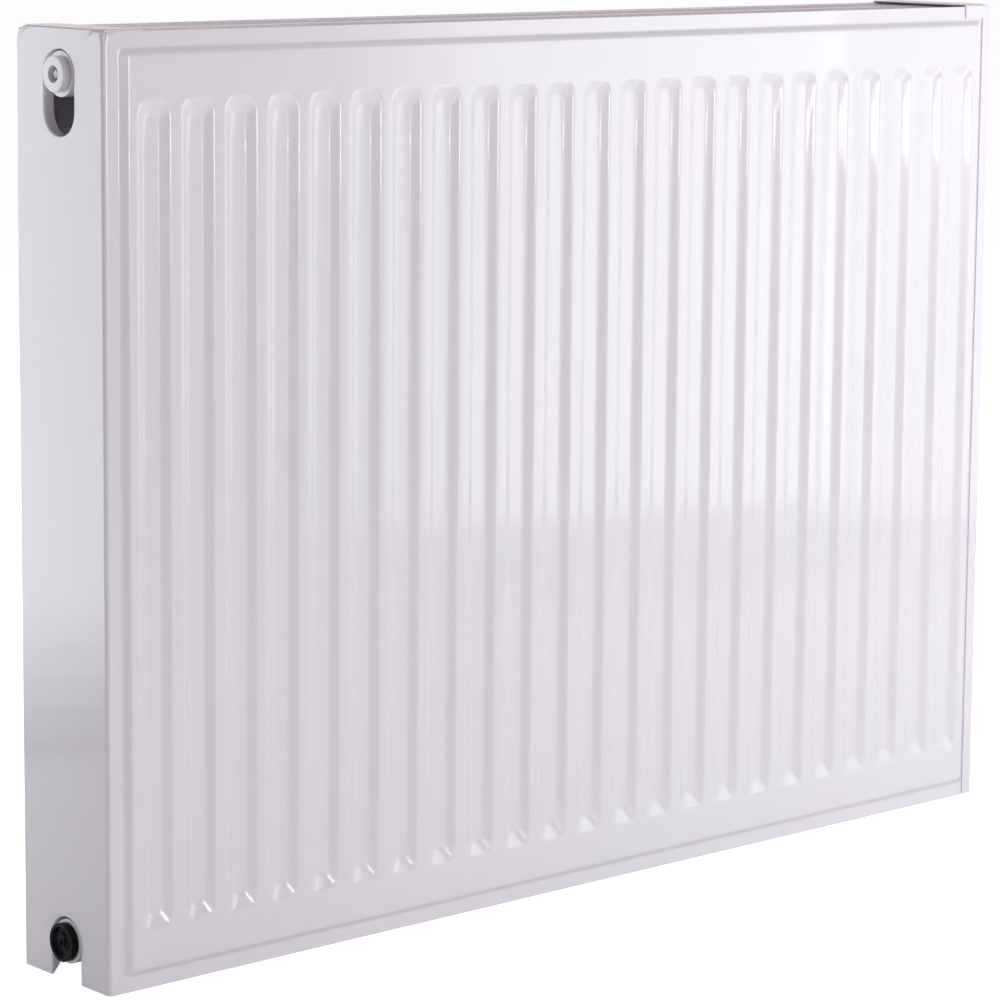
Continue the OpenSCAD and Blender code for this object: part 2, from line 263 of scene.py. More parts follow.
class Pressing:
    """The relief of a pressed sheet of a given length and height."""

    def __init__(self, length, height):
        self.length, self.height = length, height
        self.channels = round(length * CHANNELS_PER_M)
        self.pitch = length / self.channels
        self.slope_w = (GROOVE_W - GROOVE_FLOOR) / 2
        self.low = GROOVE_LOW + GROOVE_END
        self.high = height - GROOVE_DROP - GROOVE_END

    def relief(self, x, z):
        """0 on the rim and on the grooves' floors, 1 on the face."""
        from_side = self.length / 2 - abs(x) - RIM_W
        from_end = min(z, self.height - z) - RIM_W
        field = slope(-soft_max(-from_side, -from_end, FIELD_MITRE), RIM_SLOPE)
        edge = self.channels / 2 - 1
        middle = max(-edge, min(edge, round(x / self.pitch))) * self.pitch
        across = abs(x - middle) - GROOVE_FLOOR / 2
        along = max(self.low - z, z - self.high) * self.slope_w / GROOVE_END
        return field * slope(soft_max(across, along, GROOVE_MITRE), self.slope_w)

    def round_corner(self, x, z):
        """Draws a point of the square outline's corner in to the rounded outline."""
        corner_x = self.length / 2 - PANEL_CORNER
        middle = self.height / 2
        corner_z = middle - PANEL_CORNER
        out_x, out_z = abs(x) - corner_x, abs(z - middle) - corner_z
        if out_x <= 0 or out_z <= 0:
            return x, z
        draw = max(out_x, out_z) / math.hypot(out_x, out_z)
        return (
            math.copysign(corner_x + out_x * draw, x),
            middle + math.copysign(corner_z + out_z * draw, z - middle),
        )

    def x_lines(self):
        half = self.length / 2
        lines = [-half, -half + EDGE, half - EDGE, half]
        for side in (-1, 1):
            for at in (RIM_W, RIM_W + RIM_SLOPE):
                lines += [side * (half - v) for v in bend_lines(at)]
        for i in range(1, self.channels):
            middle = (i - self.channels / 2) * self.pitch
            lines.append(middle)
            for side in (-1, 1):
                lines += [middle + side * v for v in bend_lines(GROOVE_FLOOR / 2)]
                lines += [middle + side * v for v in bend_lines(GROOVE_W / 2)]
                lines += [middle + side * v for v in spread(GROOVE_FLOOR / 2 + BEND, GROOVE_W / 2 - BEND, 4)]
                lines.append(middle + side * GROOVE_FLOOR / 4)
                lines.append(middle + side * self.pitch / 2)
        return tidy_lines(lines)

    def z_lines(self):
        lines = [0, EDGE, self.height - EDGE, self.height]
        for at in (RIM_W, RIM_W + RIM_SLOPE):
            lines += bend_lines(at)
            lines += [self.height - v for v in bend_lines(at)]
        for middle, way in ((self.low, -1), (self.high, 1)):
            start, stop = middle - way * 2 * BEND, middle + way * (GROOVE_END + 2 * BEND)
            lines += spread(start, stop, 22)
        lines += spread(self.low + 20 * MM, self.high - 20 * MM, 6)
        lines += [RIM_W + 9 * MM, RIM_W + 14 * MM]
        lines += [self.height - RIM_W - 9 * MM, self.height - RIM_W - 14 * MM]
        return tidy_lines(lines)


def face_sheet(name, node, rear, material):
    """The outer sheet of a water panel, with rounded bends and eased cut edges."""
    low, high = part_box(node)
    pressing = Pressing(high.x - low.x, high.z)
    middle_x = (low.x + high.x) / 2
    seam = low.y if rear else high.y
    bm = bmesh.new()
    xs, zs = pressing.x_lines(), pressing.z_lines()
    rows = []
    for z in zs:
        row = []
        for x in xs:
            px, pz = pressing.round_corner(x, z)
            rise = SHEET_T + PRESS_D * pressing.relief(px, pz)
            if x in (xs[0], xs[-1]) or z in (zs[0], zs[-1]):
                rise -= EDGE
            row.append(Vector((middle_x + px, seam - rise, pz)))
        rows.append(row)
    add_grid(bm, rows)
    thicken(bm, lambda v: Vector((0, min(SHEET_T, seam - v.co.y), 0)))
    if rear:
        mirrored(bm, 1, seam)
    return add_piece(name, bm, material, node=node, sharp=40)


def wave_sheet(name, node, rear, material):
    """A convector: a thin corrugated sheet with rounded bends."""
    low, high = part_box(node)
    thickness, flat, reach = 0.6 * MM, 9 * MM, high.y - low.y
    root = high.y if rear else low.y
    way = -1 if rear else 1
    sheet_low, sheet_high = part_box("front_outer_sheet")
    length = sheet_high.x - sheet_low.x
    channels = round(length * CHANNELS_PER_M)
    pitch = length / channels
    lean = (pitch - 2 * flat) / 2
    path = []
    for i in range(channels):
        x = (i + 0.5 - channels / 2) * pitch
        path += [(x - flat / 2, 0), (x + flat / 2, 0)]
        if i < channels - 1:
            path += [(x + flat / 2 + lean, 1), (x + 1.5 * flat + lean, 1)]
    lift = reach - thickness
    outline = eased([(x, y * lift, 0) for x, y in path], 1.6 * MM, 5)
    heights = [low.z, low.z + 0.2 * MM, *spread(low.z + 20 * MM, high.z - 20 * MM, 4), high.z]
    bm = bmesh.new()
    add_grid(bm, [[Vector((x, root + way * (y + thickness / 2), z)) for x, y, _ in outline]
                  for z in heights])
    merge(bm)
    bm.normal_update()
    for v in bm.verts:
        v.co -= v.normal * thickness / 2
    thicken(bm, lambda v: v.normal * thickness)
    bmesh.ops.recalc_face_normals(bm, faces=bm.faces)
    return add_piece(name, bm, material, node=node, sharp=50)


# ---------------------------------------------------------------- openings with lips

def lip_profile(radius, roll, depth, steps=5):
    """Rings from a flat sheet into a lip: (distance from the core line, depth below the sheet)."""
    rings = []
    for i in range(steps + 1):
        angle = math.pi / 2 * i / steps
        rings.append((radius + roll * (1 - math.sin(angle)), roll * (1 - math.cos(angle))))
    return rings + [(radius, roll + (depth - roll) * part) for part in (0.5, 1)]


def add_opening(bm, rim, core_low, core_high, profile, place):
    """Field from the rim's points in to an opening round a core line, then its lip.
    place turns (across, along, depth) into a point in space."""
    cores = [(0, max(core_low, min(core_high, v))) for _, v in rim]
    aims = [(Vector(p) - Vector(c)).normalized() for p, c in zip(rim, cores)]
    rows = [[place(u, v, 0) for u, v in rim]]
    radius, depth = profile[0]
    for part in (0.35, 0.7):
        rows.append([
            place(*(Vector(p) * (1 - part) + (Vector(c) + a * radius) * part), 0)
            for p, c, a in zip(rim, cores, aims)
        ])
    for radius, depth in profile:
        rows.append([place(*(Vector(c) + a * radius), depth) for c, a in zip(cores, aims)])
    add_grid(bm, rows)


def ring_of(us, vs):
    """The points round the edge of a grid patch, closed."""
    low = [(u, vs[0]) for u in us]
    right = [(us[-1], v) for v in vs[1:]]
    high = [(u, vs[-1]) for u in reversed(us[:-1])]
    left = [(us[0], v) for v in reversed(vs[:-1])]
    return low + right + high + left


# ---------------------------------------------------------------- side covers

class CoverForm:
    """The skin of the left cover: a folded box whose bends widen towards its upper corners."""

    def __init__(self, node):
        self.low, self.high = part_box(node)
        self.mid_y = (self.low.y + self.high.y) / 2
        self.half = (self.high.y - self.low.y) / 2
        vent_low, vent_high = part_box("vent_plug")
        transit_low, transit_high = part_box("transit_plug")
        self.tap_high = (vent_low.z + vent_high.z) / 2
        self.tap_low = (transit_low.z + transit_high.z) / 2
        self.slot_low = self.tap_high - SLOT_REACH + SLOT_R
        self.slot_high = self.tap_high + SLOT_RISE

    def fold(self, p):
        """Moves a point of the sharp box on to the rounded skin."""
        rear = p.y > self.mid_y
        depth = Vector((
            p.x - self.low.x,
            (self.high.y - p.y) if rear else (p.y - self.low.y),
            self.high.z - p.z,
        ))
        near = max(0.0, 1 - depth.length / BALL_REACH)
        grow = near * near * (3 - 2 * near)
        low_down = min(1.0, depth.z / BALL_REACH)
        fold_r = TOP_FOLD_R + (FOLD_R - TOP_FOLD_R) * low_down
        radius = fold_r + (BALL_R - fold_r) * min(1.0, BALL_GROWTH * grow)
        pin = Vector([max(d, radius) for d in depth])
        out = depth - pin
        if out.length > 0:
            pin += out * (radius / out.length)
        pin.x += self.crease(depth, rear)
        y = self.high.y - pin.y if rear else self.low.y + pin.y
        return Vector((self.low.x + pin.x, y, self.high.z - pin.z))

    def crease(self, depth, rear):
        """Shallow slanting pull mark in the plate, beside each upper corner."""
        off = depth.y + depth.z - CREASE_REAR if rear else depth.y - depth.z - CREASE_FRONT
        inward = max(0.0, 1 - depth.x / TOP_FOLD_R)
        fade = max(0.0, 1 - depth.z / CREASE_L)
        return CREASE_D * inward * fade * math.exp(-(off / CREASE_W) ** 2)

    def y_lines(self):
        fine = spread(-WINDOW, WINDOW, 32)
        edge = [self.half - v for v in EDGE_LINES]
        mid = spread(WINDOW, self.half - EDGE_LINES[-1], 3)
        both = fine + edge + mid + [-v for v in edge + mid]
        return tidy_lines([self.mid_y + v for v in both])

    def z_lines(self):
        lines = [self.high.z - v for v in EDGE_LINES]
        lines += [self.low.z, self.high.z - EAR_H]
        lines += spread(self.slot_low - WINDOW, self.slot_high + WINDOW, 46)
        lines += spread(self.low.z, self.tap_low + WINDOW, 34)
        lines += spread(self.tap_low + WINDOW, self.slot_low - WINDOW, 12)
        return tidy_lines(lines)

    def x_lines(self):
        lines = [self.low.x + v for v in EDGE_LINES]
        lines += [self.low.x + FLANGE_W]
        lines += spread(self.low.x + FLANGE_W, self.low.x + EAR_L, 7)
        return tidy_lines(lines)


EDGE_LINES = [v * MM for v in (0, 0.35, 0.8, 1.4, 2, 2.5, 3, 3.6, 4.3, *range(5, 16))]


def side_cover(name, node, right, material):
    """A folded cover with its ears, its part over the top and the two lipped openings."""
    form = CoverForm("left_side_cover")
    xs, ys, zs = form.x_lines(), form.y_lines(), form.z_lines()
    window_y = [y for y in ys if abs(y - form.mid_y) < WINDOW + EDGE]
    slot_z = [z for z in zs if form.slot_low - WINDOW - EDGE < z < form.slot_high + WINDOW + EDGE]
    notch_z = [z for z in zs if z < form.tap_low + WINDOW + EDGE]
    bm = bmesh.new()

    def in_window(y, z):
        if not window_y[0] < y < window_y[-1]:
            return False
        return slot_z[0] < z < slot_z[-1] or z < notch_z[-1]

    def quads(us, vs, place, skip=None):
        for u0, u1 in zip(us, us[1:]):
            for v0, v1 in zip(vs, vs[1:]):
                if skip and skip((u0 + u1) / 2, (v0 + v1) / 2):
                    continue
                corners = ((u0, v0), (u1, v0), (u1, v1), (u0, v1))
                bm.faces.new([bm.verts.new(form.fold(place(u, v))) for u, v in corners])

    quads(ys, zs, lambda y, z: Vector((form.low.x, y, z)), in_window)
    quads(xs, ys, lambda x, y: Vector((x, y, form.high.z)))
    flange_end = form.low.x + FLANGE_W
    ear_low = form.high.z - EAR_H
    for y in (form.low.y, form.high.y):
        quads(xs, zs, lambda x, z: Vector((x, y, z)),
              lambda x, z: x > flange_end and z < ear_low)

    def on_plate(u, v, depth):
        return Vector((form.low.x + depth, form.mid_y + u, v))

    def on_slanted_lip(u, v, depth):
        return on_plate(u, max(v, form.low.z + LIP_SLANT * (depth - COVER_T)), depth)

    across = [y - form.mid_y for y in window_y]
    add_opening(bm, ring_of(across, slot_z), form.slot_low, form.slot_high,
                lip_profile(SLOT_R, LIP_R, SLOT_LIP), on_plate)
    arch = [(across[0], z) for z in notch_z]
    arch += [(u, notch_z[-1]) for u in across[1:-1]]
    arch += [(across[-1], z) for z in reversed(notch_z)]
    add_opening(bm, arch, -1, form.tap_low, lip_profile(SLOT_R, LIP_R, NOTCH_LIP), on_slanted_lip)
    merge(bm)
    face_towards(bm, Vector((-1, 0, 0)))
    thicken(bm, lambda v: v.normal * -COVER_T)
    if right:
        mirrored(bm, 0, 0)
    piece = add_piece(name, bm, material, body=node, node=node, sharp=50)
    bevel_edges(piece, CUT_EDGE)
    return piece


# ---------------------------------------------------------------- top grille

GRILLE_T = 1 * MM
GRILLE_R = 1.6 * MM          # bend radius between the top and a flange
GRILLE_FLANGE = 9 * MM
GRILLE_RIB = 4 * MM          # half width of the rib between the two rows
GRILLE_MARGIN = 6 * MM       # from a slot's end to a flange
GRILLE_SLOT_R = 2.3 * MM
SLOTS_PER_CHANNEL = 4


def top_grille(name, node, material):
    """Slotted plate whose slots have turned edges, with a flange down the front and the rear."""
    low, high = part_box(node)
    mid_y, half_y = (low.y + high.y) / 2, (high.y - low.y) / 2
    step = 1 / CHANNELS_PER_M / SLOTS_PER_CHANNEL
    count = math.floor((high.x - GRILLE_MARGIN) / step)
    slot_end = half_y - GRILLE_T - GRILLE_MARGIN
    cell_low, cell_high = GRILLE_RIB / 2, slot_end + GRILLE_RIB / 2
    across = spread(-step / 2, step / 2, 6)
    along = spread(cell_low, cell_high, 12)
    profile = lip_profile(GRILLE_SLOT_R, 0.5 * MM, 1.3 * MM, 3)
    bm = bmesh.new()
    for i in range(-count, count):
        middle = (i + 0.5) * step
        for side in (-1, 1):
            add_opening(
                bm, ring_of(across, along),
                GRILLE_RIB + GRILLE_SLOT_R, slot_end - GRILLE_SLOT_R, profile,
                lambda u, v, d: Vector((middle + u, mid_y + side * v, high.z - d)),
            )
    section = [(-half_y, -GRILLE_FLANGE), (-half_y, 0), (half_y, 0), (half_y, -GRILLE_FLANGE)]
    bent = eased([(y, z, 0) for y, z in section], GRILLE_R, 6)
    xs = [(i / 6 - count) * step for i in range(12 * count + 1)]
    xs = [low.x] + xs + [high.x]

    def strip(columns, points):
        add_grid(bm, [[Vector((x, mid_y + y, high.z + z)) for x in columns] for y, z in points])

    front = [(y, z) for y, z, _ in bent if y < 0]
    strip(xs, front + [(-cell_high, 0)])
    strip(xs, [(-y, z) for y, z in front] + [(cell_high, 0)])
    strip(xs, [(-cell_low, 0), (cell_low, 0)])
    sides = [(v, 0) for v in along]
    for ends in (xs[:2], xs[-2:]):
        strip(ends, sides)
        strip(ends, [(-y, z) for y, z in sides])
    merge(bm)
    face_towards(bm, Vector((0, 0, 1)))
    thicken(bm, lambda v: v.normal * -GRILLE_T)
    return add_piece(name, bm, material, body="top_grille", node=node, sharp=50)


# ---------------------------------------------------------------- tees and plugs

def thread_wave(turns):
    """0 at a thread's crest and 1 at its root."""
    return 1 - abs(2 * (turns % 1) - 1)


def tee(name, node, outward, material):
    """Cross tube with a threaded boss: outward is -1 at the left end and 1 at the right."""
    low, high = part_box(node)
    mid = (low + high) / 2
    face = high.x if outward > 0 else low.x
    tube_x = (low.x + TUBE_R) if outward > 0 else (high.x - TUBE_R)
    back = abs(tube_x - face) - 4 * MM
    centre = Vector((face, mid.y, mid.z))
    rows = [ring_at(centre, -outward * (THREAD_L + 1 * MM), lambda angle: 0)]
    for along in spread(-THREAD_L, -THREAD_MOUTH, 72):
        fade = THREAD_H * min(1, (along + THREAD_L) / THREAD_PITCH)

        def reach(angle, along=along, fade=fade):
            return THREAD_R + fade * thread_wave(along / THREAD_PITCH + angle / (2 * math.pi))

        rows.append(ring_at(centre, outward * along, reach))
    rim = [(-THREAD_MOUTH, THREAD_R + THREAD_H, 0), (0, THREAD_R + 1.2 * THREAD_MOUTH, 0),
           (0, BOSS_R, 0), (-back, BOSS_R, 0), (-back, 0, 0)]
    for along, radius, _ in eased(rim, 0.5 * MM)[1:]:
        rows.append(ring_at(centre, outward * along, lambda angle, radius=radius: radius))
    bm = bmesh.new()
    add_grid(bm, rows)
    merge(bm)
    bmesh.ops.recalc_face_normals(bm, faces=bm.faces)
    add_piece(name, bm, material, node=node, sharp=40)
    add_piece(name + "_tube", cross_tube(tube_x, low.y, high.y, mid.z), material)


def cross_tube(x, y_low, y_high, z):
    """Closed tube along Y between the two inner sheets, with soft welds at its ends."""
    length = y_high - y_low
    weld = 1.6 * MM
    outline = [(0, 0, 0), (0, TUBE_R + weld, 0), (weld, TUBE_R, 0), (length / 2, TUBE_R, 0),
               (length - weld, TUBE_R, 0), (length, TUBE_R + weld, 0), (length, 0, 0)]
    bm = lathe(eased(outline, 0.8 * MM), Vector((0, 0, 0)), 1)
    bmesh.ops.rotate(bm, verts=bm.verts, cent=(0, 0, 0), matrix=Matrix.Rotation(math.pi / 2, 3, "Z"))
    bmesh.ops.translate(bm, verts=bm.verts, vec=(x, y_low, z))
    return bm


SEAL_T = 1.5 * MM
SEAL_IN = 9.4 * MM
SEAL_OUT = 10.6 * MM
SHANK_R = 9.3 * MM
SOCKET_R = 5 * MM
HEX_R = 5.8 * MM
SOCKET_L = 7 * MM
SOCKET_FLARE = 0.35 * MM
BLEED_R = 3 * MM
BLEED_SQUARE = 5 * MM


def plug(name, node, outward, sides, material):
    """Plug with a rounded head, a seal recess behind it and a socket, round or six-sided."""
    low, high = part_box(node)
    mid = (low + high) / 2
    face = (high.x if outward > 0 else low.x) - outward * HEAD_L
    back = high.x - low.x - HEAD_L
    half_socket = HEX_R * math.cos(math.pi / 6) if sides else SOCKET_R
    floor = HEAD_L - SOCKET_L
    head = eased([
        (HEAD_L, half_socket + SOCKET_FLARE, sides), (HEAD_L, HEAD_R, 0), (0, HEAD_R, 0),
        (0, SEAL_OUT, 0),
    ], 0.8 * MM)
    narrow = half_socket if sides else half_socket - 2 * SOCKET_FLARE
    outline = [(floor, 0, sides), (floor, narrow, sides), (HEAD_L - 3 * MM, narrow, sides)]
    outline += head
    outline += [(SEAL_T, SEAL_OUT, 0), (SEAL_T, SEAL_IN, 0), (0, SEAL_IN, 0), (0, SHANK_R, 0),
                (-back + 1 * MM, SHANK_R, 0), (-back, SHANK_R - 1 * MM, 0), (-back, 0, 0)]
    bm = lathe(outline, Vector((face, mid.y, mid.z)), outward)
    return add_piece(name, bm, material, node=node, sharp=40)


def seal_ring(name, node, outward, material):
    """Flat rubber ring with rounded edges."""
    low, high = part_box(node)
    mid = (low + high) / 2
    half_t, half_w = SEAL_T / 2, (SEAL_OUT - SEAL_IN) / 2
    corner = 0.35 * MM
    outline = []
    for turn in spread(0, 2 * math.pi, 32):
        c, s = math.cos(turn), math.sin(turn)
        outline.append((
            math.copysign(half_t - corner, c) + corner * c,
            (SEAL_IN + SEAL_OUT) / 2 + math.copysign(half_w - corner, s) + corner * s,
            0,
        ))
    outline[-1] = outline[0]
    bm = lathe(outline, Vector((mid.x, mid.y, mid.z)), outward)
    return add_piece(name, bm, material, node=node, sharp=60)


def bleed_screw(name, node, material):
    """Square-headed screw: a chamfered square, a short collar and a conical tip."""
    low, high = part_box(node)
    mid = (low + high) / 2
    square = BLEED_SQUARE / 2
    head = 4.6 * MM
    length = high.x - low.x
    shaft = BLEED_R - 0.05 * MM
    outline = [
        (0, 0, 4), (0, square - 0.5 * MM, 4), (-0.5 * MM, square, 4), (-head, square, 4),
        (-head, shaft, 0), (-length + 1.6 * MM, shaft, 0), (-length, 0.6 * MM, 0), (-length, 0, 0),
    ]
    bm = lathe(outline, Vector((low.x, mid.y, mid.z)), -1, 96)
    return add_piece(name, bm, material, body="bleed_screw", node=node, sharp=30)


def transit_plug(name, node, material):
    """Moulded plug: a rim round a sunk face with a hub and swept vanes."""
    low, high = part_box(node)
    mid = (low + high) / 2
    face = low.x
    stem = high.x - low.x
    vanes = 3
    sunk, rim_w, hub_r = 2.2 * MM, 2.4 * MM, 2.2 * MM

    def blend(value, start, stop):
        t = max(0.0, min(1.0, (value - start) / (stop - start)))
        return t * t * (3 - 2 * t)

    def dip(radius, angle):
        """Depth of the face below the rim."""
        outer = blend(radius, TRANSIT_R - rim_w - 0.8 * MM, TRANSIT_R - rim_w)
        hub = 1 - blend(radius, hub_r, hub_r + 0.8 * MM)
        sweep = angle * vanes / (2 * math.pi) + radius / (7 * MM)
        near = abs((sweep % 1) - 0.5) * 2
        width = 0.6 * MM * vanes / (math.pi * max(radius, hub_r))
        vane = 0.5 * (1 - blend(near, width, width + 0.16))
        well = 0.55 * (1 - blend(radius, 1.1 * MM, 1.6 * MM))
        return sunk * (1 - max(outer, hub * 0.8, vane)) + well * sunk

    segments = 120
    centre = Vector((face, mid.y, mid.z))
    rows = []
    for radius in spread(0, TRANSIT_R - 0.6 * MM, 34):
        row = []
        for i in range(segments + 1):
            angle = 2 * math.pi * (i % segments) / segments
            depth = dip(radius, angle) if radius > 0 else dip(0, 0)
            row.append(centre + Vector((depth, radius * math.cos(angle), radius * math.sin(angle))))
        rows.append(row)
    side = [(0, TRANSIT_R - 0.6 * MM, 0), (0, TRANSIT_R, 0), (HEAD_L, TRANSIT_R, 0), (HEAD_L, 9 * MM, 0)]
    rest = eased(side, 0.6 * MM)[1:]
    rest += [(stem - 1 * MM, 9 * MM, 0), (stem, 8.2 * MM, 0), (stem, 7.4 * MM, 0),
             (HEAD_L - 1 * MM, 7.4 * MM, 0), (HEAD_L - 1 * MM, 0, 0)]
    for along, radius, _ in rest:
        rows.append(ring_at(centre, along, lambda angle, radius=radius: radius, segments))
    bm = bmesh.new()
    add_grid(bm, rows)
    merge(bm)
    bmesh.ops.recalc_face_normals(bm, faces=bm.faces)
    return add_piece(name, bm, material, body="transit_plug", node=node, sharp=45)


# ---------------------------------------------------------------- straps and springs

def bent_strip(path, thickness, x_low, x_high, radius, columns=6):
    """Strip across X whose middle line in (y, z) has rounded bends."""
    middle = eased([(y, z, 0) for y, z in path], radius, 6)
    xs = [x_low, x_low + EDGE] + spread(x_low, x_high, columns)[1:-1] + [x_high - EDGE, x_high]
    bm = bmesh.new()
    add_grid(bm, [[Vector((x, y, z)) for x in xs] for y, z, _ in middle])
    merge(bm)
    bm.normal_update()
    for v in bm.verts:
        v.co -= v.normal * thickness / 2
    thicken(bm, lambda v: v.normal * thickness)
    bmesh.ops.recalc_face_normals(bm, faces=bm.faces)
    return bm


LUG_T = 2.5 * MM
LUG_FOOT = 15 * MM


def hanging_lug(name, node, material):
    """Strap bridged off the rear panel."""
    low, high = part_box(node)
    near, far = low.y + LUG_T / 2, high.y - LUG_T / 2
    rise = (high.y - low.y) / 2 + LUG_T / 4
    path = [(near, low.z), (near, low.z + LUG_FOOT), (far, low.z + LUG_FOOT + rise),
            (far, high.z - LUG_FOOT - rise), (near, high.z - LUG_FOOT), (near, high.z)]
    bm = bent_strip(path, LUG_T, low.x, high.x, 4 * MM)
    piece = add_piece(name, bm, material, node=node, sharp=40)
    bevel_edges(piece, 0.5 * MM)
    return piece


def bevel_edges(piece, width):
    """Rounds a piece's sharp edges."""
    bevel = piece.modifiers.new("eased_edges", "BEVEL")
    bevel.width = width
    bevel.segments = 2
    bevel.limit_method = "ANGLE"
    bevel.angle_limit = math.radians(50)


CLIP_T = 0.8 * MM
CLIP_W = 12 * MM


def grille_clips(name, node, material):
    """Leaf springs under the grille: a foot, a leg that bows out and a turned end."""
    low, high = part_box(node)
    grille_low, grille_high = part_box("top_grille")
    mid_y = (grille_low.y + grille_high.y) / 2
    reach = high.y - mid_y
    top = high.z - CLIP_T / 2
    foot = 9 * MM - CLIP_T / 2
    leg = reach - CLIP_T / 2
    path = [(leg - foot, top), (leg - 1.2 * MM, top), (leg - 0.6 * MM, top - 12 * MM),
            (leg, top - 26 * MM), (leg - 2.2 * MM, low.z + 0.4 * MM)]
    for x in (low.x, high.x - CLIP_W):
        for side in (-1, 1):
            bent = [(mid_y + side * y, z) for y, z in path]
            bm = bent_strip(bent, CLIP_T, x, x + CLIP_W, 3 * MM, 3)
            end = "left" if x < 0 else "right"
            face = "front" if side < 0 else "rear"
            first = x < 0 and side < 0
            add_piece(f"{name}_{end}_{face}", bm, material, body="top_grille",
                      node=node if first else None, sharp=40)


# ---------------------------------------------------------------- materials

class Surface:
    """A node material around one Principled shader, in metres of object space."""

    def __init__(self, name, colour, roughness, metallic=0.0, coat=0.0, coat_roughness=0.05):
        self.material = bpy.data.materials.new(name)
        self.material.use_nodes = True
        self.nodes = self.material.node_tree.nodes
        self.links = self.material.node_tree.links
        self.shader = self.nodes["Principled BSDF"]
        self.shader.inputs["Base Color"].default_value = (*colour, 1)
        self.shader.inputs["Roughness"].default_value = roughness
        self.shader.inputs["Metallic"].default_value = metallic
        self.shader.inputs["Coat Weight"].default_value = coat
        self.shader.inputs["Coat Roughness"].default_value = coat_roughness
        self.place = self.nodes.new("ShaderNodeTexCoord").outputs["Object"]
        self.normal = None

    def noise(self, size, detail=2.0, stretch=(1, 1, 1)):
        """Noise whose features are about size metres across."""
        mapping = self.nodes.new("ShaderNodeMapping")
        mapping.inputs["Scale"].default_value = stretch
        self.links.new(self.place, mapping.inputs["Vector"])
        noise = self.nodes.new("ShaderNodeTexNoise")
        noise.inputs["Scale"].default_value = 1 / size
        noise.inputs["Detail"].default_value = detail
        self.links.new(mapping.outputs["Vector"], noise.inputs["Vector"])
        return noise.outputs["Fac"]

    def tint(self, factor, first, second):
        """Base colour that drifts between two tones."""
        ramp = self.nodes.new("ShaderNodeValToRGB")
        ramp.color_ramp.elements[0].position = 0.3
        ramp.color_ramp.elements[1].position = 0.7
        ramp.color_ramp.elements[0].color = (*first, 1)
        ramp.color_ramp.elements[1].color = (*second, 1)
        self.links.new(factor, ramp.inputs["Fac"])
        self.links.new(ramp.outputs["Color"], self.shader.inputs["Base Color"])

    def roughen(self, factor, low, high):
        """Roughness that varies between two values."""
        span = self.nodes.new("ShaderNodeMapRange")
        span.inputs["From Min"].default_value = 0.3
        span.inputs["From Max"].default_value = 0.7
        span.inputs["To Min"].default_value = low
        span.inputs["To Max"].default_value = high
        self.links.new(factor, span.inputs["Value"])
        self.links.new(span.outputs["Result"], self.shader.inputs["Roughness"])

    def bump(self, height, depth, strength=1.0):
        """Adds relief of a given depth in metres."""
        bump = self.nodes.new("ShaderNodeBump")
        bump.inputs["Strength"].default_value = strength
        bump.inputs["Distance"].default_value = depth
        self.links.new(height, bump.inputs["Height"])
        if self.normal:
            self.links.new(self.normal, bump.inputs["Normal"])
        self.normal = bump.outputs["Normal"]
        self.links.new(self.normal, self.shader.inputs["Normal"])


def enamel(name, colour, peel=1.0):
    """Sprayed white enamel: smooth and glossy, with faint orange peel."""
    surface = Surface(name, colour, 0.24, coat=0.7, coat_roughness=0.035)
    warm = tuple(c * f for c, f in zip(colour, (1.0, 0.985, 0.985)))
    cool = tuple(c * f for c, f in zip(colour, (0.985, 0.985, 1.0)))
    surface.tint(surface.noise(0.12, 1), warm, cool)
    surface.roughen(surface.noise(0.02, 3), 0.21, 0.27)
    surface.bump(surface.noise(0.003, 2), 0.000012 * peel, 0.5)
    surface.bump(surface.noise(0.04, 1), 0.00003 * peel, 0.4)
    return surface.material


def moulded_plastic(name):
    """Black moulded plastic with a fine spark-eroded grain."""
    surface = Surface(name, (0.007, 0.007, 0.009), 0.3)
    surface.shader.inputs["Specular IOR Level"].default_value = 0.1
    surface.tint(surface.noise(0.006, 3), (0.005, 0.005, 0.007), (0.009, 0.009, 0.012))
    surface.roughen(surface.noise(0.003, 2), 0.2, 0.34)
    surface.bump(surface.noise(0.0006, 2), 0.00004, 0.5)
    return surface.material


def plated_brass(name):
    """Nickel-plated brass with faint turning marks."""
    surface = Surface(name, (0.27, 0.27, 0.29), 0.4, metallic=1.0)
    surface.tint(surface.noise(0.002, 2), (0.24, 0.24, 0.26), (0.30, 0.30, 0.32))
    surface.roughen(surface.noise(0.0012, 2), 0.3, 0.42)
    surface.bump(surface.noise(0.0008, 2, (12, 1, 1)), 0.00002, 0.5)
    return surface.material


def rubber(name):
    """Dull black rubber."""
    surface = Surface(name, (0.02, 0.02, 0.021), 0.7)
    surface.tint(surface.noise(0.003, 3), (0.015, 0.015, 0.016), (0.03, 0.03, 0.031))
    surface.roughen(surface.noise(0.001, 2), 0.6, 0.8)
    surface.bump(surface.noise(0.0005, 2), 0.00003, 0.5)
    return surface.material


def spring_steel(name):
    """Zinc-plated strip with rolling marks along it."""
    surface = Surface(name, (0.55, 0.56, 0.58), 0.34, metallic=1.0)
    surface.tint(surface.noise(0.01, 3), (0.47, 0.48, 0.51), (0.63, 0.63, 0.64))
    surface.roughen(surface.noise(0.004, 2, (6, 1, 1)), 0.26, 0.42)
    surface.bump(surface.noise(0.0015, 2, (8, 8, 1)), 0.00002, 0.5)
    return surface.material


